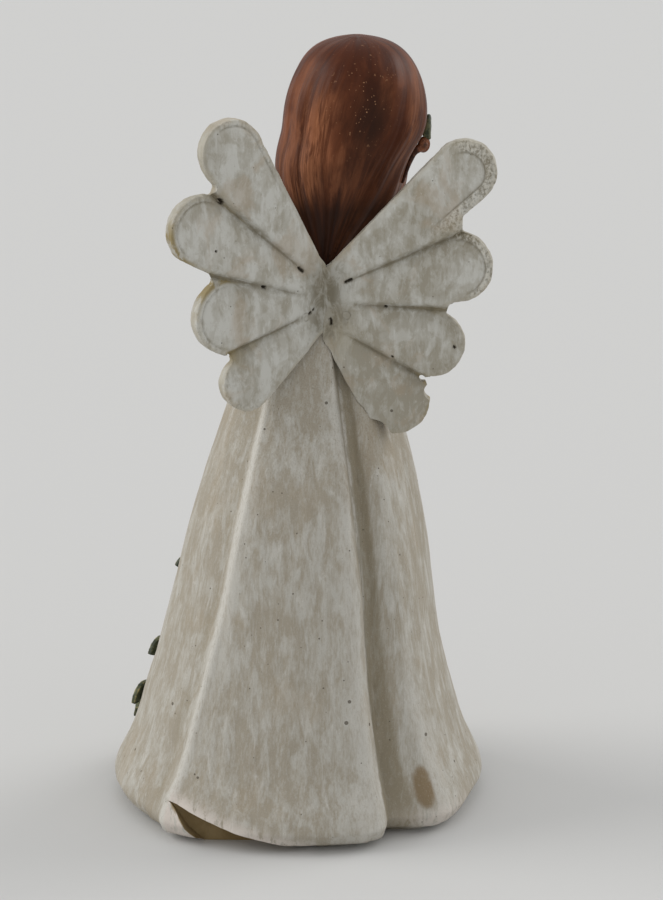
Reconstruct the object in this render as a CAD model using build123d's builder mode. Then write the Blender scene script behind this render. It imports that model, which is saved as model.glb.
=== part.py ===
"""Resin angel figurine, standing, 203 mm tall. Millimetres, +Z up, the back and its wings towards +Y.

The origin is the middle of the base, on the plane that the figurine stands on. The figure's own left is
towards +X. The pieces are cast in resin and glued together: a hollow gown with a closing plug and a felt
under it, a head on a neck pin, a hair casting over the head with its curl and leaf, two wings with root
tenons and pins, two sleeves, two hands and three sprigs.
"""

import os
from math import asin, cos, exp, hypot, radians, sin

from build123d import *

os.makedirs("parts", exist_ok=True)

# ---------------------------------------------------------------- driving dimensions
GLUE_GAP = 0.1  # round a tenon, a pin or a plug, and between glued castings

# Gown: one row per level, as height, half width, half depth, middle x, middle y.
GOWN_LEVELS = [
    (0.0, 44.8, 44.8, 0.0, 0.0),
    (2.0, 47.3, 46.8, 0.0, 0.0),
    (5.5, 48.8, 48.2, 0.0, 0.0),
    (16.0, 45.0, 44.6, 0.0, 0.4),
    (27.0, 41.2, 41.0, 0.0, 1.0),
    (38.0, 38.2, 37.8, -0.2, 1.8),
    (50.0, 35.4, 34.8, -0.5, 2.3),
    (61.0, 33.4, 32.2, -1.1, 2.8),
    (72.0, 31.4, 29.5, -1.4, 3.5),
    (83.0, 29.0, 26.8, -1.9, 3.8),
    (94.0, 26.0, 24.0, -2.5, 4.0),
    (105.0, 22.6, 20.8, -2.8, 3.6),
    (118.0, 18.6, 17.2, -3.1, 2.6),
    (129.0, 16.4, 14.8, -3.3, 1.8),
    (137.0, 15.6, 12.8, -3.6, 1.0),
    (143.0, 14.4, 11.0, -4.2, 0.4),
    (148.0, 11.4, 9.2, -5.0, -0.2),
    (151.5, 8.2, 7.6, -5.8, -0.7),
    (154.0, 6.7, 6.6, -6.3, -1.0),
]
GOWN_POINTS = 72  # points round each level
# Folds, each as its angle at the hem, halfway up and at the yoke, its height at the hem and at the yoke
# (negative for a valley), and its angular widths towards lower and higher angles. Angles run from +X
# through +Y, the back.
GOWN_FOLDS = [
    (35.0, 44.0, 48.0, 3.0, 1.6, 5.0, 20.0),
    (22.0, 29.0, 33.0, 0.8, -0.6, 10.0, 8.0),
    (103.5, 102.5, 94.0, 1.2, 1.2, 12.0, 4.0),
    (111.5, 110.5, 101.0, -4.2, -2.2, 5.0, 9.0),
    (125.0, 121.0, 117.0, 2.0, 0.6, 8.0, 18.0),
    (152.0, 151.0, 150.0, -1.2, -0.4, 12.0, 12.0),
    (203.0, 207.5, 212.0, 2.0, 0.8, 14.0, 7.0),
    (217.0, 220.5, 224.0, -2.4, -0.8, 7.0, 9.0),
    (240.0, 241.0, 242.0, 1.6, 0.8, 12.0, 9.0),
    (258.0, 257.5, 257.0, -2.4, -0.9, 8.0, 8.0),
    (276.0, 274.0, 272.0, 1.6, 0.9, 10.0, 9.0),
    (296.0, 292.0, 288.0, -2.4, -0.9, 8.0, 8.0),
    (314.0, 308.5, 303.0, 1.8, 0.8, 9.0, 12.0),
    (331.0, 324.5, 318.0, -2.0, -0.7, 8.0, 8.0),
    (346.0, 340.0, 334.0, 0.8, 0.5, 9.0, 14.0),
]
YOKE_HEIGHT = 132.0  # the folds have their yoke angles here and fade out above it
FOLD_FADE = 7.0

# Hollow inside the gown: height, half width, half depth, middle x, middle y.
CAVITY_LEVELS = [
    (5.0, 33.0, 33.0, 0.0, 0.0),
    (27.0, 32.0, 32.0, 0.0, 1.0),
    (50.0, 27.0, 26.5, -0.5, 2.3),
    (72.0, 23.0, 21.0, -1.4, 3.5),
    (94.0, 17.5, 15.5, -2.5, 4.0),
    (112.0, 9.0, 8.0, -3.0, 3.0),
]

# Base
PLUG_RADIUS = 36.0
PLUG_THICKNESS = 4.0
FELT_THICKNESS = 1.2

# Pocket under the hem, where the lifted pleat leaves the floor. It is cut by a wedge whose outline stands in
# an upright plane that faces this way. The outline runs along that plane and up.
POCKET_ANGLE = 77.0
POCKET_WALL = 38.8  # from the origin to the pocket's flat back
POCKET_TIP = (-32.4, 10.8)
POCKET_CROWN = (-15.0, 5.3)
POCKET_END = (7.2, -0.5)
POCKET_FOOT = (-24.0, -0.5)

# Head, in its own frame: tilted and turned towards the figure's right.
HEAD_CENTRE = (-14.0, -3.0, 182.5)
HEAD_TILT = 15.0  # towards -X
HEAD_NOD = 4.0  # forward
HEAD_TURN = -20.0  # about its own axis
# One row per level: height over the centre, half width, half depth, shift towards the back.
HEAD_LEVELS = [
    (-18.2, 2.4, 2.6, -7.8),
    (-16.4, 5.2, 5.6, -6.6),
    (-11.6, 8.8, 9.8, -4.2),
    (-5.0, 11.2, 12.6, -1.9),
    (2.0, 12.8, 14.3, -0.6),
    (8.5, 12.3, 13.8, 0.0),
    (13.5, 8.8, 10.2, 0.4),
    (15.8, 4.0, 5.0, 0.6),
]
# Features of the face, each with its height and its front, and half width, half depth and half height.
EYE = (4.7, 0.4, -12.0)  # across, height, front
EYE_SIZE = (2.5, 1.7, 1.5)
SOCKET = (1.0, -14.6)
SOCKET_SIZE = (3.4, 2.6, 2.6)
NOSE = (-4.0, -15.2)
NOSE_SIZE = (1.7, 1.7, 1.4)
BRIDGE = (-1.0, -14.2)
BRIDGE_SIZE = (1.1, 1.5, 4.4)
LIPS = (-9.2, -13.3)
LIPS_SIZE = (2.8, 1.2, 0.8)
LIPS_SPACING = 1.3
NECK_RADIUS = 5.2
NECK_TOP = -4.0  # in the head's frame
NECK_TENON_RADIUS = 4.0
NECK_TENON_LENGTH = 6.0
NECK_PIN_RADIUS = 1.25
NECK_PIN_LENGTH = 24.0

# Hair: height, half width, half depth, middle x, middle y.
HAIR_LEVELS = [
    (203.0, 2.4, 2.6, -15.2, 0.6),
    (202.0, 6.8, 7.4, -15.2, 0.6),
    (199.2, 12.0, 13.0, -15.2, 0.6),
    (194.0, 15.5, 17.6, -15.2, 0.6),
    (187.0, 17.8, 19.6, -15.0, 0.6),
    (179.0, 18.3, 19.4, -14.2, 0.9),
    (171.5, 17.3, 16.6, -11.2, 2.4),
    (164.0, 16.1, 11.0, -10.2, 5.8),
    (156.0, 12.5, 5.6, -8.0, 9.2),
    (150.0, 7.8, 2.8, -5.6, 11.2),
    (145.5, 3.6, 1.3, -4.0, 12.5),
]
# The hair parts round the face, which shows through an opening in the head's frame.
FACE_OPENING = (10.4, 14.6)  # half width and half height
FACE_OPENING_DROP = 5.2
FACE_OPENING_BACK = -3.0
CURL_PLACE = (-31.7, 5.4, 175.1)
CURL_RADIUS = 1.2
CURL_THICKNESS = 0.9
LEAF_PLACE = (-32.0, 4.4, 176.4)
HAIR_LEAF = (6.2, 4.4, 1.5)  # length, width, thickness

# Wings: root on the seam between them, at the back face.
WING_ROOT = (-3.1, 18.5, 137.4)
WING_SWEEP = 15.0  # each wing leans back from the seam by this angle
WING_THICKNESS = 4.0
WING_EDGE = 0.8
SEAM_GAP = 0.05  # from the seam to either wing
# Feathers of each wing, from the top: angle over the horizontal, length to the tip's centre, radius of the
# tip and half width at the root.
FEATHERS_LEFT = [
    (58.3, 48.6, 8.3, 4.8),
    (33.4, 40.4, 8.9, 5.0),
    (-1.1, 26.4, 9.6, 5.0),
    (-40.5, 28.2, 7.0, 5.0),
]
FEATHERS_RIGHT = [
    (44.6, 49.2, 8.2, 6.2),
    (16.6, 35.0, 8.9, 5.0),
    (-20.4, 29.0, 8.4, 5.0),
    (-54.1, 30.4, 9.0, 5.0),
]
FEATHER_START = 2.0  # from the root to the centre of the feather's inner end
# Notches between neighbouring feathers, as places across and up from the root.
NOTCHES_LEFT = [(30.6, 30.9), (31.3, 10.6), (26.3, -10.1)]
NOTCHES_RIGHT = [(34.6, 18.6), (31.0, -1.4), (24.3, -18.9)]
CHIPS_RIGHT = [(11.6, -35.4, 5.6), (24.8, -19.3, 0.9), (27.4, -22.6, 2.2)]  # broken out: across, up, radius
WEB_RADIUS = 1.0  # in the notches between feathers
GROOVE_START = 5.0  # from the root
GROOVE_ROOT_RADIUS = 0.5
GROOVE_NOTCH_RADIUS = 1.5
TENON = (8.0, 12.0, 8.0)  # across, up, and out of the wing's front face
TENON_PLACE = (5.4, 1.0)
WING_PIN_RADIUS = 1.0
WING_PIN_LENGTH = 16.0
WING_PIN_COVER = 1.5  # resin left behind the pin, at the wing's back face
WING_PIN_OFFSET = 3.6  # up and down from the tenon's middle

# Arms, mirrored about the body's middle at the chest.
BODY_MIDDLE_X = -3.5
SHOULDER = (12.4, 0.0, 135.0)
ELBOW = (15.0, -6.0, 119.5)
CUFF = (4.8, -21.0, 129.0)
SHOULDER_RADIUS = 5.6
ELBOW_RADIUS = 5.4
CUFF_HALF = (5.2, 7.6)
CUFF_HOLLOW_HALF = (4.0, 6.4)
CUFF_HOLLOW_DEPTH = 3.0
# Hand, from wrist to fingertips: length along it, half thickness, half breadth.
HAND_BASE = (-20.6, 129.0)  # y and height
HAND_LEAN = 18.0  # forward of upright
HAND_LEVELS = [
    (0.0, 1.8, 2.3),
    (3.5, 2.0, 3.0),
    (8.0, 2.0, 3.3),
    (12.5, 1.5, 2.7),
    (16.0, 1.0, 1.7),
    (17.2, 0.5, 0.8),
]
WRIST_RADIUS = 1.8
WRIST_REACH = 7.5
THUMB_FOOT = (2.0, 3.4)  # towards the chest, and along the hand
THUMB_RADIUS = 1.0
THUMB_LENGTH = 5.4

# Sprigs of leaves on the skirt: the stem's course as angle and height, one list per sprig.
SPRIG_COURSES = {
    "upper": [(-106.0, 103.0), (-97.0, 96.0), (-87.0, 88.5), (-77.0, 81.0)],
    "middle": [(-69.0, 74.5), (-60.0, 67.0), (-51.0, 59.5), (-43.0, 52.0)],
    "lower": [(-36.0, 46.0), (-29.5, 37.0), (-25.0, 28.0), (-23.5, 19.0)],
}
STEM_RADIUS = 0.7
STEM_CLEARANCE = 0.5  # the glue line between the stem and the skirt
SPRIG_LEAF = (8.2, 4.4, 1.1)  # length, width, thickness
LEAF_SHARES = [0.06, 0.28, 0.5, 0.72, 0.94]  # along the stem
LEAF_SPREAD = 46.0  # between a leaf and the stem
LEAF_LIFT = 16.0  # of a leaf's tip away from the skirt


# ---------------------------------------------------------------- the gown's surface
def blend(low, high, share):
    return low + (high - low) * min(1.0, max(0.0, share))


def fold_height(angle, height):
    """How far the folds lift the gown off its plain oval."""
    share = height / YOKE_HEIGHT
    fade = exp(-((max(0.0, height - YOKE_HEIGHT) / FOLD_FADE) ** 2))
    total = 0.0
    for hem_angle, middle_angle, yoke_angle, hem_height, yoke_height, low_width, high_width in GOWN_FOLDS:
        if share < 0.5:
            course = blend(hem_angle, middle_angle, 2.0 * share)
        else:
            course = blend(middle_angle, yoke_angle, 2.0 * share - 1.0)
        off = (angle - course + 180.0) % 360.0 - 180.0
        width = low_width if off < 0 else high_width
        total += blend(hem_height, yoke_height, share) * exp(-((abs(off) / width) ** 1.6))
    return total * fade


def gown_oval(height):
    """Half width, half depth, middle x and middle y of the gown's plain oval at any height."""
    for lower, upper in zip(GOWN_LEVELS, GOWN_LEVELS[1:]):
        if height <= upper[0]:
            share = (height - lower[0]) / (upper[0] - lower[0])
            return [blend(a, b, share) for a, b in zip(lower[1:], upper[1:])]
    return list(GOWN_LEVELS[-1][1:])


def gown_point(angle, height, lift):
    """A point on the gown, or lift millimetres outside it."""
    half_width, half_depth, middle_x, middle_y = gown_oval(height)
    c, s = cos(radians(angle)), sin(radians(angle))
    radius = 1.0 / hypot(c / half_width, s / half_depth) + fold_height(angle, height) + lift
    return Vector(middle_x + radius * c, middle_y + radius * s, height)


def gown_form(lift):
    with BuildPart() as form:
        for level in GOWN_LEVELS:
            with BuildSketch(Plane.XY.offset(level[0])):
                with BuildLine():
                    turns = [i * 360.0 / GOWN_POINTS for i in range(GOWN_POINTS)]
                    ring = [gown_point(turn, level[0], lift) for turn in turns]
                    Spline(*[(point.X, point.Y) for point in ring], periodic=True)
                make_face()
        loft()
    return form.part


# ---------------------------------------------------------------- shared forms
def oval_form(levels):
    """Level ovals, given as height, half width, half depth, middle x and middle y, lofted into one body."""
    with BuildPart() as form:
        for height, half_width, half_depth, middle_x, middle_y in levels:
            with BuildSketch(Plane.XY.offset(height)):
                with Locations((middle_x, middle_y)):
                    Ellipse(half_width, half_depth)
        loft()
    return form.part


def leaf_form(place, size):
    """A flat pointed leaf that starts at a plane's origin and runs along its x direction."""
    length, width, thickness = size
    with BuildPart() as form:
        with BuildSketch(place):
            with BuildLine():
                ThreePointArc((0, 0), (length * 0.45, width / 2), (length, 0))
                ThreePointArc((length, 0), (length * 0.45, -width / 2), (0, 0))
            make_face()
        extrude(amount=thickness)
    return form.part


def save(piece, name):
    piece.part.label = name
    export_step(piece.part, f"parts/{name}.step")


gown_skin = gown_form(0.0)
gown_clear = gown_form(GLUE_GAP)
cavity = oval_form(CAVITY_LEVELS)

# ---------------------------------------------------------------- head
head_frame = Plane(HEAD_CENTRE).rotated((HEAD_NOD, -HEAD_TILT, HEAD_TURN))
neck_axis = head_frame.z_dir
neck_plane = Plane.XY.offset(GOWN_LEVELS[-1][0])
neck_base = Vector(*HEAD_CENTRE) - neck_axis * ((HEAD_CENTRE[2] - GOWN_LEVELS[-1][0]) / neck_axis.Z)
neck_frame = Plane(origin=neck_base, z_dir=neck_axis)
from_top = (Align.CENTER, Align.CENTER, Align.MAX)


def skull_form(lift):
    """The head with its neck, before the face."""
    with BuildPart() as form:
        with Locations(head_frame.offset(NECK_TOP)):
            Cylinder(NECK_RADIUS + lift, 36.0, align=from_top)
        split(bisect_by=neck_plane, keep=Keep.TOP)
        for height, half_width, half_depth, shift in HEAD_LEVELS:
            with BuildSketch(head_frame.offset(height)):
                with Locations((0, shift)):
                    Ellipse(half_width + lift, half_depth + lift)
        loft()
    return form.part


def lump(place, half_sizes):
    """An egg shape on the head, given in the head's frame."""
    return head_frame.location * Location(place) * scale(Sphere(1.0), by=half_sizes)


head_clear = skull_form(GLUE_GAP)
skull = skull_form(0.0)
eyes = [lump((side * EYE[0], EYE[2], EYE[1]), EYE_SIZE) for side in (-1, 1)]
sockets = [lump((side * EYE[0], SOCKET[1], SOCKET[0]), SOCKET_SIZE) for side in (-1, 1)]
nose = [lump((0.0, NOSE[1], NOSE[0]), NOSE_SIZE), lump((0.0, BRIDGE[1], BRIDGE[0]), BRIDGE_SIZE)]
lips = [lump((0.0, LIPS[1], LIPS[0] + rise), LIPS_SIZE) for rise in (-LIPS_SPACING / 2, LIPS_SPACING / 2)]

with BuildPart() as head:
    add(skull)
    add(sockets, mode=Mode.SUBTRACT)
    add(eyes)
    add(nose)
    add(lips)
    with Locations(neck_frame):
        Cylinder(NECK_TENON_RADIUS, NECK_TENON_LENGTH, align=from_top)
        Cylinder(NECK_PIN_RADIUS + GLUE_GAP, NECK_PIN_LENGTH + 2 * GLUE_GAP, mode=Mode.SUBTRACT)
save(head, "head")

with BuildPart() as neck_dowel:
    with Locations(neck_frame):
        Cylinder(NECK_PIN_RADIUS, NECK_PIN_LENGTH)
save(neck_dowel, "neck_dowel")

# ---------------------------------------------------------------- wings
def wing_plane(side):
    """The wing's back face. Its x direction points to the figure's right on both wings."""
    c, s = cos(radians(WING_SWEEP)), sin(radians(WING_SWEEP))
    return Plane(origin=WING_ROOT, x_dir=(-c, -side * s, 0), z_dir=(-side * s, c, 0))


def tangent_outline(start, end, start_radius, end_radius):
    """The four-sided outline between the outer tangents of two circles."""
    start, end = Vector(*start), Vector(*end)
    along = (end - start).normalized()
    across = Vector(-along.Y, along.X)
    lean = asin((start_radius - end_radius) / (end - start).length)
    left = along * sin(lean) + across * cos(lean)
    right = along * sin(lean) - across * cos(lean)
    left_side = [start + left * start_radius, end + left * end_radius]
    right_side = [end + right * end_radius, start + right * start_radius]
    return left_side + right_side


def groove_form(side, notch, depth):
    """The tapered cutter of the groove between two feathers, at a depth from the back face."""
    plane = wing_plane(side)
    notch_place = Vector(-side * notch[0], notch[1], -depth)
    start = plane.from_local_coords(notch_place.normalized() * GROOVE_START + Vector(0, 0, -depth))
    end = plane.from_local_coords(notch_place)
    along = Plane(origin=start, z_dir=end - start)
    with BuildPart() as form:
        with BuildSketch(along):
            Circle(GROOVE_ROOT_RADIUS)
        with BuildSketch(along.offset((end - start).length)):
            Circle(GROOVE_NOTCH_RADIUS)
        loft()
    return form.part


def tenon_form(side, lift):
    with BuildPart() as form:
        with Locations(wing_plane(side).offset(-WING_THICKNESS / 2)):
            with Locations((-side * TENON_PLACE[0], TENON_PLACE[1])):
                length = WING_THICKNESS / 2 + TENON[2] + lift
                Box(TENON[0] + 2 * lift, TENON[1] + 2 * lift, length, align=from_top)
    return form.part


def wing_pin_form(side, up, lift):
    with BuildPart() as form:
        with Locations(wing_plane(side).offset(-WING_PIN_COVER + lift)):
            with Locations((-side * TENON_PLACE[0], TENON_PLACE[1] + up)):
                Cylinder(WING_PIN_RADIUS + lift, WING_PIN_LENGTH + 2 * lift, align=from_top)
    return form.part


wings = {
    "left": (1, FEATHERS_LEFT, NOTCHES_LEFT, []),
    "right": (-1, FEATHERS_RIGHT, NOTCHES_RIGHT, CHIPS_RIGHT),
}
pins = {"upper": WING_PIN_OFFSET, "lower": -WING_PIN_OFFSET}
mortises = [tenon_form(side, GLUE_GAP) for side in (1, -1)]
pin_holes = [wing_pin_form(side, up, GLUE_GAP) for side in (1, -1) for up in pins.values()]

for name, (side, feathers, notches, chips) in wings.items():
    plane = wing_plane(side)
    grooves = [groove_form(side, notch, depth) for notch in notches for depth in (0.0, WING_THICKNESS)]
    tenon = tenon_form(side, 0.0)
    with BuildPart() as wing:
        with BuildSketch(plane):
            tips = []
            for angle, length, tip_radius, root_radius in feathers:
                c, s = -side * cos(radians(angle)), sin(radians(angle))
                inner, tip = (FEATHER_START * c, FEATHER_START * s), (length * c, length * s)
                with Locations(inner):
                    Circle(root_radius)
                with Locations(tip):
                    Circle(tip_radius)
                with BuildLine():
                    Polyline(*tangent_outline(inner, tip, root_radius, tip_radius), close=True)
                make_face()
                tips.append(tip)
            for (across, up), upper_tip, lower_tip in zip(notches, tips, tips[1:]):
                with BuildLine():
                    Polyline((0, 0), upper_tip, (-side * across, up), lower_tip, close=True)
                make_face()
            offset(amount=WEB_RADIUS)
            offset(amount=-WEB_RADIUS)
            with Locations((-side * (60.0 + SEAM_GAP), 0)):
                Rectangle(120.0, 160.0, mode=Mode.INTERSECT)
        extrude(amount=-WING_THICKNESS)
        flat_faces = wing.faces().sort_by(Axis((0, 0, 0), plane.z_dir))
        rims = [
            edge
            for face in (flat_faces[0], flat_faces[-1])
            for edge in face.edges()
            if abs(plane.to_local_coords(edge.center()).X) > 2 * SEAM_GAP
        ]
        fillet(rims, radius=WING_EDGE)
        with Locations(plane):
            for across, up, radius in chips:
                with Locations((-side * across, up)):
                    Cylinder(radius, 3 * WING_THICKNESS, mode=Mode.SUBTRACT)
        add(grooves, mode=Mode.SUBTRACT)
        add(gown_clear, mode=Mode.SUBTRACT)
        add(tenon)
        add(pin_holes, mode=Mode.SUBTRACT)
    save(wing, f"wing_{name}")
    for place, up in pins.items():
        pin = wing_pin_form(side, up, 0.0)
        with BuildPart() as wing_dowel:
            add(pin)
        save(wing_dowel, f"wing_dowel_{name}_{place}")


# ---------------------------------------------------------------- gown
pocket_frame = Plane(
    origin=(POCKET_WALL * cos(radians(POCKET_ANGLE)), POCKET_WALL * sin(radians(POCKET_ANGLE)), 0),
    x_dir=(-sin(radians(POCKET_ANGLE)), cos(radians(POCKET_ANGLE)), 0),
    z_dir=(cos(radians(POCKET_ANGLE)), sin(radians(POCKET_ANGLE)), 0),
)
with BuildPart() as pocket:
    with BuildSketch(pocket_frame):
        with BuildLine():
            ThreePointArc(POCKET_TIP, POCKET_CROWN, POCKET_END)
            Polyline(POCKET_END, POCKET_FOOT, POCKET_TIP)
        make_face()
    extrude(amount=40.0)

with BuildPart() as gown:
    add(gown_skin)
    add(cavity, mode=Mode.SUBTRACT)
    Cylinder(PLUG_RADIUS + GLUE_GAP, 2 * (FELT_THICKNESS + PLUG_THICKNESS), mode=Mode.SUBTRACT)
    add(pocket.part, mode=Mode.SUBTRACT)
    add(mortises, mode=Mode.SUBTRACT)
    add(pin_holes, mode=Mode.SUBTRACT)
    with Locations(neck_frame):
        socket_depth = 2 * (NECK_TENON_LENGTH + GLUE_GAP)
        Cylinder(NECK_TENON_RADIUS + GLUE_GAP, socket_depth, mode=Mode.SUBTRACT)
        Cylinder(NECK_PIN_RADIUS + GLUE_GAP, NECK_PIN_LENGTH + 2 * GLUE_GAP, mode=Mode.SUBTRACT)
save(gown, "gown")

with BuildPart() as base_plug:
    with Locations((0, 0, FELT_THICKNESS)):
        Cylinder(PLUG_RADIUS, PLUG_THICKNESS - GLUE_GAP, align=(Align.CENTER, Align.CENTER, Align.MIN))
save(base_plug, "base_plug")

with BuildPart() as felt_base:
    Cylinder(PLUG_RADIUS, FELT_THICKNESS, align=(Align.CENTER, Align.CENTER, Align.MIN))
save(felt_base, "felt_base")


# ---------------------------------------------------------------- hair, with its curl and its leaf
hair_skin = oval_form(HAIR_LEVELS)
face_middle = head_frame.from_local_coords((0, FACE_OPENING_BACK, -FACE_OPENING_DROP))
with BuildPart() as face_opening:
    with BuildSketch(Plane(face_middle, x_dir=head_frame.x_dir, z_dir=-head_frame.y_dir)):
        Ellipse(*FACE_OPENING)
    extrude(amount=40.0)
leaf_frame = Plane(LEAF_PLACE, x_dir=(0.0, 0.0, 1.0), z_dir=(-1.0, 0.3, 0.0))
hair_leaf_body = leaf_form(leaf_frame, HAIR_LEAF)

with BuildPart() as hair:
    add(hair_skin)
    add(face_opening.part, mode=Mode.SUBTRACT)
    add(head_clear, mode=Mode.SUBTRACT)
    add(gown_clear, mode=Mode.SUBTRACT)
save(hair, "hair")

with BuildPart() as side_curl:
    with Locations(Plane(CURL_PLACE, z_dir=(-0.6, 0.8, 0.0))):
        Torus(CURL_RADIUS, CURL_THICKNESS)
    add(hair_skin, mode=Mode.SUBTRACT)
save(side_curl, "side_curl")
with BuildPart() as hair_leaf:
    add(hair_leaf_body)
    add(hair_skin, mode=Mode.SUBTRACT)
    add(side_curl.part, mode=Mode.SUBTRACT)
save(hair_leaf, "hair_leaf")


# ---------------------------------------------------------------- sleeves and hands
hand_plane = Plane(
    origin=(BODY_MIDDLE_X, *HAND_BASE),
    x_dir=(1, 0, 0),
    z_dir=(0, -sin(radians(HAND_LEAN)), cos(radians(HAND_LEAN))),
)


def arm_place(side, place):
    return Vector(BODY_MIDDLE_X + side * place[0], place[1], place[2])


def hand_form(side, lift):
    """A flat hand whose palm stands against the middle plane between the two hands, with its wrist."""
    wrist_across = side * (HAND_LEVELS[0][1] + SEAM_GAP)
    wrist = hand_plane.from_local_coords((wrist_across, 0, 0))
    thumb_across = side * (HAND_LEVELS[1][1] + SEAM_GAP)
    with BuildPart() as form:
        for length, half_thickness, half_breadth in HAND_LEVELS:
            with BuildSketch(hand_plane.offset(length)):
                with Locations((side * (half_thickness + SEAM_GAP), 0)):
                    Ellipse(half_thickness + lift, half_breadth + lift)
        loft()
        with Locations(wrist):
            Sphere(WRIST_RADIUS + lift)
        with Locations(Plane(wrist, z_dir=arm_place(side, ELBOW) - wrist)):
            Cylinder(WRIST_RADIUS + lift, WRIST_REACH + lift, align=(Align.CENTER, Align.CENTER, Align.MIN))
        with Locations(hand_plane.offset(THUMB_FOOT[1])):
            with Locations((thumb_across, THUMB_FOOT[0])):
                Cylinder(THUMB_RADIUS + lift, THUMB_LENGTH, align=(Align.CENTER, Align.CENTER, Align.MIN))
                Sphere(THUMB_RADIUS + lift)
            with Locations((thumb_across, THUMB_FOOT[0], THUMB_LENGTH)):
                Sphere(THUMB_RADIUS + lift)
    return form.part


for name, side in (("left", 1), ("right", -1)):
    hand_body = hand_form(side, 0.0)
    hand_clear = hand_form(side, GLUE_GAP)
    with BuildPart() as hand:
        add(hand_body)
    save(hand, f"hand_{name}")
    shoulder, elbow, cuff = [arm_place(side, place) for place in (SHOULDER, ELBOW, CUFF)]
    upper_arm = Plane(origin=shoulder, z_dir=elbow - shoulder)
    forearm = Plane(origin=elbow, x_dir=(cuff - elbow).cross(Vector(0, 0, 1)), z_dir=cuff - elbow)
    forearm_length = (cuff - elbow).length
    with BuildPart() as sleeve:
        with BuildSketch(upper_arm):
            Circle(SHOULDER_RADIUS)
        with BuildSketch(upper_arm.offset((elbow - shoulder).length)):
            Circle(ELBOW_RADIUS)
        loft()
        with BuildSketch(forearm):
            Circle(ELBOW_RADIUS)
        with BuildSketch(forearm.offset(forearm_length)):
            Ellipse(*CUFF_HALF)
        loft()
        with Locations(shoulder):
            Sphere(SHOULDER_RADIUS)
        with Locations(elbow):
            Sphere(ELBOW_RADIUS)
        with BuildSketch(forearm.offset(forearm_length)):
            Ellipse(*CUFF_HOLLOW_HALF)
        extrude(amount=-CUFF_HOLLOW_DEPTH, mode=Mode.SUBTRACT)
        add(hand_clear, mode=Mode.SUBTRACT)
        add(gown_clear, mode=Mode.SUBTRACT)
        with Locations((BODY_MIDDLE_X - side * (20.0 - SEAM_GAP), CUFF[1], CUFF[2])):
            Box(40.0, 40.0, 40.0, mode=Mode.SUBTRACT)
    save(sleeve, f"sleeve_{name}")


# ---------------------------------------------------------------- sprigs of leaves
for name, course in SPRIG_COURSES.items():
    stem_lift = STEM_RADIUS + STEM_CLEARANCE
    stem_points = [gown_point(angle, height, stem_lift) for angle, height in course]
    stem = Spline(*stem_points)
    leaves = []
    for number, share in enumerate(LEAF_SHARES):
        place = stem @ share
        out = Vector(place.X - gown_oval(place.Z)[2], place.Y - gown_oval(place.Z)[3], 0.0).normalized()
        spread = LEAF_SPREAD if number % 2 else -LEAF_SPREAD
        along = (stem % share).rotate(Axis((0, 0, 0), out), spread)
        side_axis = Axis((0, 0, 0), out.cross(along))
        along, out = along.rotate(side_axis, -LEAF_LIFT), out.rotate(side_axis, -LEAF_LIFT)
        leaf_place = Plane(origin=place, x_dir=along, z_dir=out)
        leaves.append(leaf_form(leaf_place, SPRIG_LEAF))
    with BuildPart() as sprig:
        with BuildLine() as course_line:
            Spline(*stem_points)
        with BuildSketch(course_line.line ^ 0):
            Circle(STEM_RADIUS)
        sweep()
        add(leaves)
    save(sprig, f"garland_{name}")
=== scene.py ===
"""Looks of the resin angel figurine. Metres, in the CAD's frame: +Z up, the back towards +Y."""

from math import cos, hypot, pi, radians, sin, tan

import bmesh
import bpy
import numpy as np
from mathutils import Matrix, Vector
from mathutils.bvhtree import BVHTree
from mathutils.noise import noise


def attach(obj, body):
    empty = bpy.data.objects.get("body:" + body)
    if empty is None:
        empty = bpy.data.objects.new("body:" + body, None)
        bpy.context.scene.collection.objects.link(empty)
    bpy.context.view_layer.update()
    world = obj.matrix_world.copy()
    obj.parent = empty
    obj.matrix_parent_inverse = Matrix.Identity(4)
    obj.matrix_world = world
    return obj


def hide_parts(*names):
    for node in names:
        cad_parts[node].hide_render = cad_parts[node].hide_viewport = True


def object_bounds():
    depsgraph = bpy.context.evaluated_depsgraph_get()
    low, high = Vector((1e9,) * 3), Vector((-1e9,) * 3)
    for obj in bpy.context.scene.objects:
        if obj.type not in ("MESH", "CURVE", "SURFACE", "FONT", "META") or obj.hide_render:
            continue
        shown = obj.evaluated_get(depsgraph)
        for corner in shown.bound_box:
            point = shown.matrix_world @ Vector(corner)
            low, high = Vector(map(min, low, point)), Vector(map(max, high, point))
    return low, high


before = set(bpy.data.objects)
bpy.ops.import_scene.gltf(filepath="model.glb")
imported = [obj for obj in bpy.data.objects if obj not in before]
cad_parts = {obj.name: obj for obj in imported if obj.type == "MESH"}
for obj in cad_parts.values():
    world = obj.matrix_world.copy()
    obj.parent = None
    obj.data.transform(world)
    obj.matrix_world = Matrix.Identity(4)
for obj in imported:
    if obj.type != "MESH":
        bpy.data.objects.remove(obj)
cad_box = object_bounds()
lowest = cad_box[0]

MM = 0.001


# ---------------------------------------------------------------- camera, floor and light
def make_camera():
    """Behind the figure, a little to its left, looking slightly down."""
    turn, pitch, distance = radians(12.0), radians(16.0), 0.9
    target = Vector((-0.00869, 0.0, 0.09352))
    back = Vector((sin(turn) * cos(pitch), cos(turn) * cos(pitch), sin(pitch)))
    data = bpy.data.cameras.new("camera")
    data.lens, data.sensor_width = 136.9, 36.0
    camera = bpy.data.objects.new("camera", data)
    camera.location = target + back * distance
    camera.rotation_euler = (-back).to_track_quat("-Z", "Y").to_euler()
    bpy.context.collection.objects.link(camera)
    bpy.context.scene.camera = camera


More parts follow.
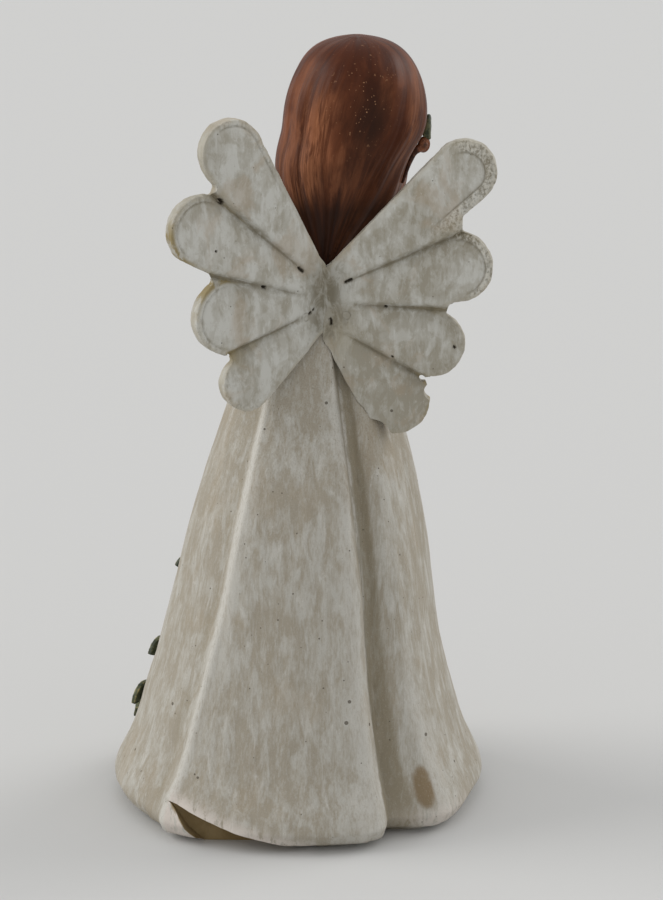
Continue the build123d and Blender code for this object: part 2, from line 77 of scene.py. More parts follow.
def soft_sun(name, way, strength, spread, colour=(1, 1, 1)):
    """A large far light that shines from a direction."""
    data = bpy.data.lights.new(name, "SUN")
    data.energy, data.angle, data.color = strength, radians(spread), colour
    light = bpy.data.objects.new(name, data)
    light.rotation_euler = Vector(way).to_track_quat("Z", "Y").to_euler()
    bpy.context.collection.objects.link(light)


def make_stage():
    mesh = bpy.data.meshes.new("floor")
    build = bmesh.new()
    bmesh.ops.create_circle(build, cap_ends=True, segments=96, radius=6.0)
    build.to_mesh(mesh)
    build.free()
    floor = bpy.data.objects.new("floor", mesh)
    floor.location.z = lowest.z - 0.00005
    bpy.context.collection.objects.link(floor)
    material = bpy.data.materials.new("floor_paper")
    material.use_nodes = True
    shader = material.node_tree.nodes["Principled BSDF"]
    shader.inputs["Base Color"].default_value = (0.62, 0.62, 0.612, 1)
    shader.inputs["Roughness"].default_value = 0.9
    shader.inputs["Specular IOR Level"].default_value = 0.1
    mesh.materials.append(material)
    world = bpy.data.worlds.new("studio")
    world.use_nodes = True
    world.node_tree.nodes["Background"].inputs["Color"].default_value = (0.99, 0.995, 1.0, 1)
    world.node_tree.nodes["Background"].inputs["Strength"].default_value = 0.66
    bpy.context.scene.world = world


make_camera()
make_stage()
soft_sun("left", (1.0, -0.3, 0.65), 1.22, 40.0, (1.0, 0.985, 0.965))
soft_sun("right", (-1.0, -0.3, 0.6), 0.95, 40.0, (1.0, 0.99, 0.98))


# ---------------------------------------------------------------- mesh helpers
def cad_tree(node):
    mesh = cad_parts[node].data
    return BVHTree.FromPolygons([v.co for v in mesh.vertices], [tuple(p.vertices) for p in mesh.polygons])


def points_of(mesh):
    flat = np.empty(len(mesh.vertices) * 3)
    mesh.vertices.foreach_get("co", flat)
    return flat.reshape(-1, 3)


def set_points(mesh, points):
    mesh.vertices.foreach_set("co", points.ravel())
    mesh.update()


def normals_of(mesh):
    flat = np.empty(len(mesh.vertices) * 3)
    mesh.vertex_normals.foreach_get("vector", flat)
    return flat.reshape(-1, 3)


def edges_of(mesh):
    flat = np.empty(len(mesh.edges) * 2, dtype=np.int64)
    mesh.edges.foreach_get("vertices", flat)
    return flat.reshape(-1, 2)


def averaged(points, edges, rounds, share=0.5):
    """Each point moved towards its neighbours' average, some rounds over."""
    count = np.bincount(edges.ravel(), minlength=len(points)).reshape(-1, 1)
    points = points.copy()
    for _ in range(rounds):
        total = np.zeros_like(points)
        np.add.at(total, edges[:, 0], points[edges[:, 1]])
        np.add.at(total, edges[:, 1], points[edges[:, 0]])
        points += (total / count - points) * share
    return points


def smoothed(mesh, rounds):
    """Smooths a mesh without shrinking it."""
    points, edges = points_of(mesh), edges_of(mesh)
    for _ in range(rounds):
        points = averaged(points, edges, 1, 0.5)
        points = averaged(points, edges, 1, -0.52)
    set_points(mesh, points)


def remeshed(node, voxel, rounds, beads=()):
    """A dense even mesh over a CAD node and any beads, given as a centre and a radius, with soft edges."""
    stand = bpy.data.objects.new("stand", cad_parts[node].data.copy())
    bpy.context.collection.objects.link(stand)
    if beads:
        build = bmesh.new()
        build.from_mesh(stand.data)
        for centre, radius in beads:
            made = bmesh.ops.create_icosphere(build, subdivisions=3, radius=radius)
            bmesh.ops.translate(build, verts=made["verts"], vec=Vector(centre))
        build.to_mesh(stand.data)
        build.free()
    change = stand.modifiers.new("remesh", "REMESH")
    change.mode, change.voxel_size = "VOXEL", voxel
    evaluated = stand.evaluated_get(bpy.context.evaluated_depsgraph_get())
    mesh = bpy.data.meshes.new_from_object(evaluated)
    bpy.data.objects.remove(stand)
    smoothed(mesh, rounds)
    return mesh


def noise_at(points, across, along=None, shift=0.0):
    """Smooth noise at each point, about -1 to 1, with cells of a size across and along Z, in metres."""
    along = along or across
    return np.array([noise(Vector((x / across + shift, y / across, z / along))) for x, y, z in points])


def store(mesh, name, values):
    mesh.attributes.new(name, "FLOAT", "POINT").data.foreach_set("value", np.asarray(values, dtype=float))


def store_relief(mesh, rounds, size):
    """Stores how far each point stands proud of its surroundings, as a share of a size."""
    points = points_of(mesh)
    apart = points - averaged(points, edges_of(mesh), rounds)
    store(mesh, "relief", np.clip((apart * normals_of(mesh)).sum(1) / size, -1, 1))


def add_piece(name, mesh, material, slot, *nodes):
    piece = bpy.data.objects.new(name, mesh)
    bpy.context.collection.objects.link(piece)
    mesh.materials.clear()
    mesh.materials.append(material)
    mesh.shade_smooth()
    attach(piece, "root")
    if nodes:
        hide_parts(*nodes)
    return piece


def near(values, middle, width):
    return np.exp(-(((values - middle) / width) ** 2))


def step(values, low, high):
    share = np.clip((values - low) / (high - low), 0, 1)
    return share * share * (3 - 2 * share)


# ---------------------------------------------------------------- material helpers
class Graph:
    """A material's nodes, built from the surface coordinates outward."""

    def __init__(self, name, roughness, specular=0.3, coat=0.0, coat_roughness=0.2, sheen=0.0):
        self.material = bpy.data.materials.new(name)
        self.material.use_nodes = True
        self.tree = self.material.node_tree
        self.shader = self.tree.nodes["Principled BSDF"]
        self.shader.inputs["Roughness"].default_value = roughness
        self.shader.inputs["Specular IOR Level"].default_value = specular
        self.shader.inputs["Coat Weight"].default_value = coat
        self.shader.inputs["Coat Roughness"].default_value = coat_roughness
        self.shader.inputs["Sheen Weight"].default_value = sheen
        self.coordinates = self.tree.nodes.new("ShaderNodeTexCoord").outputs["Object"]

    def node(self, kind, **settings):
        made = self.tree.nodes.new(kind)
        for name, value in settings.items():
            setattr(made, name, value)
        return made

    def link(self, value, socket):
        if isinstance(value, (int, float, tuple)):
            socket.default_value = value
        else:
            self.tree.links.new(value, socket)

    def noise(self, scale, detail=4.0, rough=0.55, source=None, shift=(0, 0, 0), distortion=0.0):
        """Noise whose scale is given per axis, in cells per metre."""
        mapping = self.node("ShaderNodeMapping")
        mapping.inputs["Scale"].default_value = scale
        mapping.inputs["Location"].default_value = shift
        self.link(source or self.coordinates, mapping.inputs["Vector"])
        made = self.node("ShaderNodeTexNoise")
        made.inputs["Scale"].default_value = 1.0
        made.inputs["Detail"].default_value = detail
        made.inputs["Roughness"].default_value = rough
        made.inputs["Distortion"].default_value = distortion
        self.link(mapping.outputs[0], made.inputs["Vector"])
        return made.outputs["Fac"]

    def ramp(self, value, low, high, low_to=0.0, high_to=1.0):
        made = self.node("ShaderNodeMapRange", interpolation_type="SMOOTHSTEP")
        for name, number in (("From Min", low), ("From Max", high), ("To Min", low_to), ("To Max", high_to)):
            made.inputs[name].default_value = number
        self.link(value, made.inputs["Value"])
        return made.outputs["Result"]

    def maths(self, operation, a, b=0.0, clamp=False):
        made = self.node("ShaderNodeMath", operation=operation, use_clamp=clamp)
        self.link(a, made.inputs[0])
        self.link(b, made.inputs[1])
        return made.outputs[0]

    def mix(self, share, a, b):
        made = self.node("ShaderNodeMix", data_type="RGBA")
        self.link(share, made.inputs["Factor"])
        self.link(a, made.inputs[6])
        self.link(b, made.inputs[7])
        return made.outputs[2]

    def attribute(self, name):
        return self.node("ShaderNodeAttribute", attribute_name=name).outputs["Fac"]

    def specks(self, cell, radius, share, shift=(0, 0, 0)):
        """Small round marks, one in some of the cells of a size."""
        mapping = self.node("ShaderNodeMapping")
        mapping.inputs["Location"].default_value = shift
        self.link(self.coordinates, mapping.inputs["Vector"])
        made = self.node("ShaderNodeTexVoronoi")
        made.inputs["Scale"].default_value = 1.0 / cell
        self.link(mapping.outputs[0], made.inputs["Vector"])
        chance = self.node("ShaderNodeSeparateColor")
        self.link(made.outputs["Color"], chance.inputs[0])
        chosen = self.maths("LESS_THAN", chance.outputs[0], share)
        size = self.maths("MULTIPLY_ADD", chance.outputs[1], radius / cell)
        size.node.inputs[2].default_value = 0.4 * radius / cell
        inside = self.maths("LESS_THAN", made.outputs["Distance"], size)
        return self.maths("MULTIPLY", chosen, inside)

    def finish(self, colour, bump=None, distance=0.0002, strength=0.5, roughness=None):
        self.link(colour, self.shader.inputs["Base Color"])
        if roughness is not None:
            self.link(roughness, self.shader.inputs["Roughness"])
        if bump is not None:
            made = self.node("ShaderNodeBump")
            made.inputs["Distance"].default_value = distance
            made.inputs["Strength"].default_value = strength
            self.link(bump, made.inputs["Height"])
            self.link(made.outputs[0], self.shader.inputs["Normal"])
        return self.material


def srgb(red, green, blue):
    """A colour given as it looks on a screen, 0 to 255."""
    shares = (red / 255, green / 255, blue / 255)
    return tuple(((c + 0.055) / 1.055) ** 2.4 if c > 0.04 else c / 12.92 for c in shares) + (1.0,)


# ---------------------------------------------------------------- materials
def gown_material():
    g = Graph("gown_paint", 0.8, specular=0.2)
    relief, inside = g.attribute("relief"), g.attribute("inside")
    height = g.node("ShaderNodeSeparateXYZ")
    g.link(g.coordinates, height.inputs[0])
    upper = g.ramp(height.outputs[2], 0.06, 0.13)
    patches = g.noise((105, 105, 82), detail=4, rough=0.55, shift=(0, 7, 0), distortion=0.6)
    strokes = g.noise((620, 620, 64), detail=6, rough=0.66, distortion=0.25)
    hairs = g.noise((2100, 2100, 170), detail=4, rough=0.6, shift=(3, 0, 0))
    grain = g.noise((2900, 2900, 2300), detail=3, rough=0.65)
    dabs = g.noise((330, 330, 70), detail=6, rough=0.62, shift=(6, 1, 2), distortion=0.7)
    wash = g.maths("ADD", g.ramp(patches, 0.38, 0.6, 0.0, 0.42), g.ramp(strokes, 0.38, 0.64, -0.12, 0.42))
    wash = g.maths("ADD", wash, g.ramp(hairs, 0.35, 0.65, -0.2, 0.24))
    wash = g.maths("ADD", wash, g.ramp(dabs, 0.46, 0.56, -0.16, 0.26))
    # Ridges take more of the light wash and hollows less: painted highlight on ridges and painted shade in
    # hollows.
    wash = g.maths("ADD", wash, g.maths("MULTIPLY", relief, 0.35))
    wash = g.maths("SUBTRACT", wash, g.maths("MULTIPLY", upper, 0.18), clamp=True)
    colour = g.mix(wash, srgb(165, 157, 142), srgb(188, 185, 176))
    warm = g.ramp(g.noise((70, 70, 40), detail=5, rough=0.62, shift=(11, 3, 5)), 0.52, 0.64)
    colour = g.mix(g.maths("MULTIPLY", warm, 0.32), colour, srgb(166, 152, 130))
    colour = g.mix(g.ramp(dabs, 0.6, 0.66, 0.0, 0.5), colour, srgb(202, 199, 191))
    # Painted shade in the folds' hollows and down the sharp groove.
    groove = g.ramp(relief, -0.95, -0.3, 1.0, 0.0)
    colour = g.mix(g.maths("MULTIPLY", groove, 0.5), colour, srgb(134, 123, 98))
    # Painted highlight along the proud ridges and the crest lines, broken up by the fine noise.
    edge = g.maths("MAXIMUM", g.ramp(relief, 0.55, 1.0, 0.0, 0.45), g.attribute("crest"))
    edge = g.maths("MULTIPLY", edge, g.ramp(hairs, 0.3, 0.55, 0.4, 1.0))
    colour = g.mix(edge, colour, srgb(204, 201, 193))
    worn = g.maths("MULTIPLY", g.attribute("worn"), g.ramp(strokes, 0.36, 0.5))
    colour = g.mix(worn, colour, srgb(212, 203, 194))
    rubbed = g.maths("MULTIPLY", g.attribute("rubbed"), g.ramp(patches, 0.3, 0.5, 0.5, 1.0))
    colour = g.mix(rubbed, colour, srgb(140, 123, 98))
    speckle = g.maths("MULTIPLY", g.ramp(grain, 0.53, 0.66), g.ramp(upper, 0, 1, 0.14, 0.34))
    colour = g.mix(speckle, colour, srgb(128, 119, 104))
    colour = g.mix(g.maths("MULTIPLY", g.ramp(grain, 0.44, 0.3), 0.2), colour, srgb(212, 208, 200))
    pits = g.maths("MAXIMUM", g.specks(0.006, 0.0004, 0.7), g.specks(0.0029, 0.00017, 0.8, (0.02, 0.01, 0)))
    colour = g.mix(g.maths("MULTIPLY", pits, 0.75), colour, srgb(78, 70, 56))
    unpainted = g.mix(g.ramp(patches, 0.35, 0.6), srgb(132, 112, 76), srgb(150, 130, 94))
    colour = g.mix(inside, colour, unpainted)
    rise = g.maths("ADD", g.maths("MULTIPLY", hairs, 0.45), g.maths("MULTIPLY", strokes, 0.9))
    rise = g.maths("ADD", rise, g.maths("MULTIPLY", grain, 0.15))
    rise = g.maths("ADD", rise, g.maths("MULTIPLY", dabs, 0.8))
    rise = g.maths("SUBTRACT", rise, g.maths("MULTIPLY", pits, 1.4))
    return g.finish(colour, rise, 0.0003, 0.6, g.ramp(wash, 0, 1, 0.74, 0.88))


def wing_material():
    g = Graph("wing_paint", 0.62, specular=0.3)
    relief, rim, groove = g.attribute("relief"), g.attribute("rim"), g.attribute("groove")
    blotch = g.noise((125, 125, 95), detail=5, rough=0.6, distortion=0.4)
    dabs = g.noise((330, 330, 190), detail=6, rough=0.66, shift=(4, 2, 0), distortion=0.45)
    strokes = g.noise((560, 560, 100), detail=5, rough=0.62, shift=(5, 0, 0), distortion=0.3)
    crumbs = g.noise((1500, 1500, 1100), detail=4, rough=0.62, distortion=0.4)
    wash = g.maths("ADD", g.ramp(blotch, 0.4, 0.6, 0.0, 0.5), g.ramp(dabs, 0.44, 0.58, -0.08, 0.34))
    wash = g.maths("ADD", wash, g.ramp(strokes, 0.38, 0.64, -0.06, 0.26))
    # Ridges take more of the light wash: painted highlight.
    wash = g.maths("ADD", wash, g.maths("MULTIPLY", relief, 0.2))
    # Painted light and shade for each feather: lighter on the left wing, darker on the right wing's lower
    # feathers.
    wash = g.maths("SUBTRACT", wash, g.attribute("feather_shade"), clamp=True)
    colour = g.mix(wash, srgb(160, 154, 139), srgb(201, 200, 193))
    warm = g.ramp(g.noise((90, 90, 70), detail=5, rough=0.6, shift=(2, 9, 4), distortion=0.6), 0.52, 0.64)
    colour = g.mix(g.maths("MULTIPLY", warm, 0.45), colour, srgb(172, 156, 134))
    colour = g.mix(g.ramp(crumbs, 0.64, 0.7, 0.0, 0.45), colour, srgb(208, 206, 198))
    colour = g.mix(g.ramp(crumbs, 0.36, 0.3, 0.0, 0.35), colour, srgb(138, 130, 112))
    # Painted shade and dirt along the valleys, creases and scored lines and in the dip between the wings.
    groove_shade_and_dirt = g.maths("MULTIPLY", groove, g.ramp(dabs, 0.4, 0.6, 0.85, 0.45))
    colour = g.mix(groove_shade_and_dirt, colour, srgb(108, 100, 80))
    # Painted shade in the hollows.
    colour = g.mix(g.ramp(relief, -0.9, -0.35, 0.55, 0.0), colour, srgb(108, 99, 78))
    speckle = g.maths("MULTIPLY", g.ramp(crumbs, 0.5, 0.56), rim)
    colour = g.mix(g.maths("MULTIPLY", speckle, 0.6), colour, srgb(212, 208, 196))
    dirt = g.maths("MULTIPLY", g.ramp(crumbs, 0.46, 0.4), rim)
    colour = g.mix(g.maths("MULTIPLY", dirt, 0.55), colour, srgb(112, 102, 80))
    worn = g.maths("MULTIPLY", g.attribute("tan"), g.ramp(dabs, 0.42, 0.54, 0.15, 0.95))
    colour = g.mix(worn, colour, srgb(146, 130, 90))
    pits = g.maths("MAXIMUM", g.specks(0.006, 0.0003, 0.5, (0.01, 0, 0)), g.specks(0.003, 0.00015, 0.6))
    colour = g.mix(g.maths("MULTIPLY", pits, 0.75), colour, srgb(74, 66, 52))
    colour = g.mix(g.attribute("pit"), colour, srgb(50, 42, 30))
    rise = g.maths("ADD", g.maths("MULTIPLY", crumbs, 0.3), g.maths("MULTIPLY", strokes, 0.45))
    rise = g.maths("ADD", rise, g.maths("MULTIPLY", dabs, 1.0))
    rise = g.maths("SUBTRACT", rise, g.maths("MULTIPLY", pits, 1.2))
    return g.finish(colour, rise, 0.0003, 0.5, g.ramp(wash, 0, 1, 0.55, 0.78))


def hair_material():
    g = Graph("hair_paint", 0.42, specular=0.13, coat=0.03, coat_roughness=0.3)
    flow = g.node("ShaderNodeAttribute", attribute_name="flow").outputs["Vector"]
    relief, light, dark = g.attribute("relief"), g.attribute("light"), g.attribute("dark")
    strands = g.noise((3.4, 3.4, 3.2), detail=6, rough=0.62, source=flow, distortion=1.1)
    fine = g.noise((22, 22, 7.0), detail=5, rough=0.62, source=flow, shift=(4, 0, 0), distortion=0.9)
    patches = g.noise((1.6, 1.6, 3.2), detail=4, rough=0.55, source=flow, shift=(1, 2, 3), distortion=0.6)
    dust = g.noise((900, 900, 900), detail=3, rough=0.6)
    colour = g.mix(g.ramp(patches, 0.38, 0.62), srgb(76, 35, 15), srgb(108, 58, 32))
    colour = g.mix(g.ramp(strands, 0.4, 0.6, 0.35, 0.0), colour, srgb(50, 20, 8))
    # Painted highlight along the strands where the light attribute and some patches are.
    lit = g.maths("ADD", light, g.ramp(patches, 0.5, 0.66, 0.0, 0.3))
    glow = g.maths("MULTIPLY", g.ramp(strands, 0.42, 0.58, 0.1, 0.6), lit)
    glow = g.maths("ADD", glow, g.maths("MULTIPLY", g.ramp(fine, 0.48, 0.62, 0.0, 0.5), lit), clamp=True)
    colour = g.mix(glow, colour, srgb(158, 102, 70))
    deep = g.maths("MULTIPLY", dark, g.ramp(strands, 0.3, 0.7, 0.95, 0.7))
    colour = g.mix(deep, colour, srgb(40, 20, 9))
    # Painted shade in the hollows between locks.
    colour = g.mix(g.ramp(relief, -0.9, -0.1, 0.5, 0.0), colour, srgb(36, 15, 7))
    specks = g.maths("MAXIMUM", g.specks(0.001, 0.00013, 0.55), g.ramp(dust, 0.66, 0.7))
    specks = g.maths("MULTIPLY", specks, g.attribute("dusty"))
    colour = g.mix(g.maths("MULTIPLY", specks, 0.75), colour, srgb(190, 142, 104))
    rise = g.maths("ADD", g.maths("MULTIPLY", strands, 0.7), g.maths("MULTIPLY", fine, 0.3))
    return g.finish(colour, rise, 0.0004, 0.35, g.ramp(strands, 0.3, 0.7, 0.36, 0.52))


def skin_material():
    g = Graph("skin_paint", 0.5, specular=0.4)
    mottle = g.noise((160, 160, 160), detail=4, rough=0.55)
    grain = g.noise((2600, 2600, 2600), detail=2, rough=0.5)
    colour = g.mix(g.ramp(mottle, 0.35, 0.65), srgb(222, 184, 156), srgb(233, 200, 174))
    colour = g.mix(g.maths("MULTIPLY", g.attribute("cheeks"), 0.55), colour, srgb(222, 140, 122))
    colour = g.mix(g.attribute("lips"), colour, srgb(178, 92, 84))
    colour = g.mix(g.attribute("lines"), colour, srgb(84, 52, 36))
    # Painted shade in the hollows.
    colour = g.mix(g.ramp(g.attribute("relief"), -0.9, -0.1, 0.5, 0.0), colour, srgb(170, 118, 92))
    return g.finish(colour, g.maths("ADD", mottle, g.maths("MULTIPLY", grain, 0.4)), 0.0001, 0.4)


def leaf_material():
    g = Graph("leaf_paint", 0.55, specular=0.4)
    mottle = g.noise((500, 500, 500), detail=4, rough=0.6)
    colour = g.mix(g.ramp(mottle, 0.35, 0.65), srgb(56, 62, 44), srgb(92, 98, 72))
    worn = g.maths("MULTIPLY", g.ramp(g.attribute("relief"), 0.15, 0.8), g.ramp(mottle, 0.4, 0.6))
    worn = g.maths("MULTIPLY", worn, g.attribute("worn"))
    colour = g.mix(worn, colour, srgb(176, 160, 108))
    return g.finish(colour, mottle, 0.0002, 0.5)


def felt_material():
    g = Graph("felt_cloth", 0.95, specular=0.1, sheen=0.5)
    fibre = g.noise((2200, 2200, 900), detail=5, rough=0.7, distortion=0.8)
    patch = g.noise((90, 90, 90), detail=3)
    colour = g.mix(g.ramp(fibre, 0.35, 0.65), srgb(28, 58, 40), srgb(62, 98, 72))
    colour = g.mix(g.ramp(patch, 0.4, 0.7, 0.0, 0.4), colour, srgb(40, 66, 50))
    return g.finish(colour, fibre, 0.0004, 0.9)


def bare_material():
    g = Graph("bare_resin", 0.7, specular=0.3)
    cloud = g.noise((120, 120, 120), detail=4)
    colour = g.mix(g.ramp(cloud, 0.35, 0.65), srgb(142, 124, 98), srgb(166, 148, 120))
    return g.finish(colour, cloud, 0.0003, 0.5)


def steel_material():
    g = Graph("pin_wire", 0.35, specular=0.5)
    g.shader.inputs["Metallic"].default_value = 1.0
    drawn = g.noise((3000, 120, 3000), detail=3)
    return g.finish(g.mix(drawn, srgb(150, 150, 152), srgb(200, 200, 202)), drawn, 0.0001, 0.3)


gown_paint, wing_paint, hair_paint = gown_material(), wing_material(), hair_material()
skin_paint, leaf_paint, felt_cloth = skin_material(), leaf_material(), felt_material()
bare_resin, pin_wire = bare_material(), steel_material()


# ---------------------------------------------------------------- gown
NECKLINE = Vector((-6.3, -1.0, 154.0)) * MM
NECK_ROWS, UNDER_ROWS = 6, 6  # rings across the neckline and under the gown
PLUG_RIM = 36.15 * MM  # radius, where the gown's underside meets the plug
RAY_LENGTH = 0.09  # rays to the gown's skin start well outside it
# The pocket under the hem: its outline stands in a plane that faces out, and is cut outward from there.
POCKET_WAY = np.array([cos(radians(77.0)), sin(radians(77.0))])
POCKET_ALONG = np.array([-POCKET_WAY[1], POCKET_WAY[0]])
POCKET_WALL = 38.8
POCKET_TIP, POCKET_CROWN, POCKET_END, POCKET_FOOT = (-32.4, 10.8), (-15.0, 5.3), (7.2, -0.5), (-24.0, -0.5)


def gown_middle(z):
    """The gown's middle leans from the base's middle to the neckline."""
    return Vector((NECKLINE.x * z / NECKLINE.z, NECKLINE.y * z / NECKLINE.z, z))


def blurred(values, reach):
    """The average of each row over a reach of columns to either side, twice over."""
    for _ in range(2):
        values = sum(np.roll(values, k, axis=1) for k in range(-reach, reach + 1)) / (2 * reach + 1)
    return values


def gown_mesh():
    """A dense grid over the CAD gown, with the pocket under its hem, its neckline and its underside."""
    tree = cad_tree("gown")
    columns, top_rows, low_rows, open_rows = 330, 236, 12, 7
    angles = np.arange(columns) * 2 * pi / columns

    def cast(angle, z):
        way = Vector((cos(angle), sin(angle), 0))
        hit = tree.ray_cast(gown_middle(z) + way * RAY_LENGTH, -way, RAY_LENGTH)[0]
        return way.dot(hit - gown_middle(z)) if hit else 0.006

    # Under this height the skin beside the pocket keeps the profile of a plain column.
    plain_angle, sill = radians(128.0), 12.6 * MM
    over_pocket = np.array([cast(angle, sill) for angle in angles])
    cut = (angles > radians(24)) & (angles < radians(100))

    def skin(levels):
        out = np.empty_like(levels)
        for k, row in enumerate(levels):
            for i, z in enumerate(row):
                if cut[i] and z < sill:
                    out[k, i] = over_pocket[i] + cast(plain_angle, z) - cast(plain_angle, sill)
                else:
                    out[k, i] = cast(angles[i], z)
        return out

    def pocket_place(z):
        """How far along the pocket's plane and out from the base's middle the skin is, in millimetres."""
        radius = skin(z.reshape(1, -1))[0]
        middles = np.array([gown_middle(v) for v in z])[:, :2]
        places = (middles + np.stack([radius * np.cos(angles), radius * np.sin(angles)], -1)) / MM
        return places @ POCKET_ALONG, places @ POCKET_WAY

    # The pocket's upper and lower edges, as a height in each column. They meet where it is closed.
    crown = np.polyfit(*zip(POCKET_TIP, POCKET_CROWN, POCKET_END), 2)
    slope = (POCKET_TIP[1] - POCKET_FOOT[1]) / (POCKET_TIP[0] - POCKET_FOOT[0])
    top = bottom = np.full(columns, 3.0 * MM)
    for _ in range(4):
        along, _ = pocket_place(top)
        top = np.clip(np.polyval(crown, along), 0.0, 12.0) * MM
        along, out = pocket_place(bottom)
        bottom = np.clip(POCKET_FOOT[1] + slope * (along - POCKET_FOOT[0]), 0.0, 12.0) * MM
    opened = cut & (out > POCKET_WALL + 0.05) & (top - bottom > 0.05 * MM)
    first, last = np.flatnonzero(opened)[[0, -1]]
    closed = np.arange(last + 1, first + columns)
    level = np.interp(closed, [last, first + columns], [top[last], (top[first] + bottom[first]) / 2])
    top, bottom = top.copy(), bottom.copy()
    bottom[closed % columns] = top[closed % columns] = level

    # Heights of the rows, and the CAD's radius at each.
    share = np.linspace(0, 1, top_rows).reshape(-1, 1)
    high = (NECKLINE.z - 0.05 * MM) * (1 - share) + top * share
    low = bottom * (1 - np.linspace(0, 1, low_rows).reshape(-1, 1))
    levels = np.vstack([high, low]).clip(0.03 * MM)
    radius = skin(levels)
    open_low = opened & (bottom < 0.05 * MM)
    plain = blurred(radius, 9)
    folds = radius - plain
    low_part = 1 - step(levels, 0.112, 0.128)
    inside = np.zeros_like(radius)
    inside[top_rows:, open_low] = 1.0
    spots = np.stack([radius * np.cos(angles), radius * np.sin(angles), levels], axis=-1).reshape(-1, 3)
    shape = radius.shape
    # Deeper folds, shallow facets, brush marks, and a lip above the floor that draws in under itself.
    wide = noise_at(spots, 15 * MM, 46 * MM, 3.0).reshape(shape)
    facet = noise_at(spots, 5.0 * MM, 21 * MM, 9.0).reshape(shape)
    brush = noise_at(spots, 1.3 * MM, 11 * MM, 5.0).reshape(shape)
    crisp = 0.6 * np.exp(-np.abs(levels / MM - 5.2) / 1.1) - 0.35 * near(levels / MM, 11.0, 4.0)
    crisp -= 2.4 * (1 - step(levels / MM, 0.3, 2.3))
    carved = wide * 0.35 + np.abs(facet) * 0.4 + brush * 0.06 + crisp
    radius = radius + (folds * 0.3 * low_part + carved * MM) * (1 - inside)
    relief = np.clip(folds / (1.1 * MM) * low_part + facet * 0.25, -1, 1)
    # A raised crest runs down the first ridge, with a painted highlight along it.
    degree = np.degrees(angles)
    course = np.interp(levels / MM, [0, 66, 132], [35.5, 44.5, 48.5]) + wide * 1.0
    crest = np.exp(-(np.abs(degree - course) / (1.9 + 1.6 * step(levels, 0.03, 0.1))) ** 4)
    crest *= 1 - step(levels, 0.105, 0.125)
    radius = radius + crest * 0.55 * MM
    # A sharp groove runs down behind the second ridge, with painted shade in it and a painted highlight
    # along the edge beside it.
    groove = np.interp(levels / MM, [0, 66, 132], [110.5, 109.5, 100.0]) + wide * 0.8
    low_groove = 1 - step(levels, 0.112, 0.13)
    radius -= (near(degree, groove, 2.6) * np.where(degree < groove, 1.0, 0.7) * low_groove) * 1.1 * MM
    relief = np.clip(relief - near(degree, groove, 2.0) * low_groove * 0.7, -1, 1)
    edging = np.exp(-(np.abs(degree - groove + 5.6) / 1.5) ** 4) * low_groove * (0.35 + 0.5 * (brush > 0))
    crest = np.maximum(crest, edging)

    # Paint is worn off above the pocket, beside it at the hem, and in one oval near the hem.
    over = np.clip(levels - top, 0, None) / MM
    worn = np.where(opened, 1.0, 0.0) * np.exp(-((over / 2.4) ** 2)) * step(degree, 30, 36)
    worn = np.maximum(worn, 0.8 * near(degree, 128, 13) * near(levels / MM, 4.5, 3.0))
    rubbed = 1 - step(np.hypot((degree - 121) / 3.2, (levels / MM - 12.5) / 5.6) + facet * 0.15, 0.75, 1.1)
    rings, inner, raised, marks = [], [], [], []
    nothing = np.zeros((3, columns))

    def around(radii, heights):
        """A ring of points about the gown's middle."""
        middles = np.array([gown_middle(z) for z in heights])
        places = middles + np.stack([radii * np.cos(angles), radii * np.sin(angles), 0 * radii], axis=-1)
        places[:, 2] = heights
        return places

    def add_ring(places, hidden, stand, mark=nothing):
        rings.append(places)
        inner.append(np.broadcast_to(hidden, columns))
        raised.append(np.broadcast_to(stand, columns))
        marks.append(mark)

    def marks_of(row):
        return np.array([worn[row], rubbed[row], crest[row]])

    def pushed_in(edge):
        depth = np.clip(edge[:, :2] @ POCKET_WAY - POCKET_WALL * MM, 0, None) * opened
        return edge - np.column_stack([depth[:, None] * POCKET_WAY, np.zeros(columns)])

    # From the neckline down to the pocket's upper edge, in to its wall, down the wall and out again.
    for k in range(NECK_ROWS):
        add_ring(around(radius[0] * (0.1 + 0.15 * k), levels[0]), 0.0, 0.0)
    for row in range(top_rows):
        add_ring(around(radius[row], levels[row]), inside[row], relief[row], marks_of(row))
    upper_edge, lower_edge = rings[-1], around(radius[top_rows], levels[top_rows])
    upper_wall, lower_wall = pushed_in(upper_edge), pushed_in(lower_edge)
    closing_edge = np.where(open_low[:, None], lower_wall, lower_edge)
    hidden = np.where(opened, 1.0, 0.0)
    for start, end in ((upper_edge, upper_wall), (upper_wall, lower_wall), (lower_wall, closing_edge)):
        for k in range(1, open_rows + 1):
            add_ring(start + (end - start) * k / open_rows, hidden, relief[top_rows - 1])
    # Down to the floor and in under the gown to the plug.
    for row in range(top_rows, top_rows + low_rows):
        places = around(radius[row], levels[row])
        places[open_low] = lower_wall[open_low]
        add_ring(places, inside[row], relief[row], marks_of(row))
    last_ring = rings[-1]
    plug_rim = np.stack([PLUG_RIM * np.cos(angles), PLUG_RIM * np.sin(angles), 0 * angles], -1)
    for k in range(UNDER_ROWS):
        under = last_ring + (plug_rim - last_ring) * min(k, UNDER_ROWS - 2) / (UNDER_ROWS - 2)
        under[:, 2] = 1.2 * MM if k == UNDER_ROWS - 1 else 0.0
        add_ring(under, 1.0, 0.0)

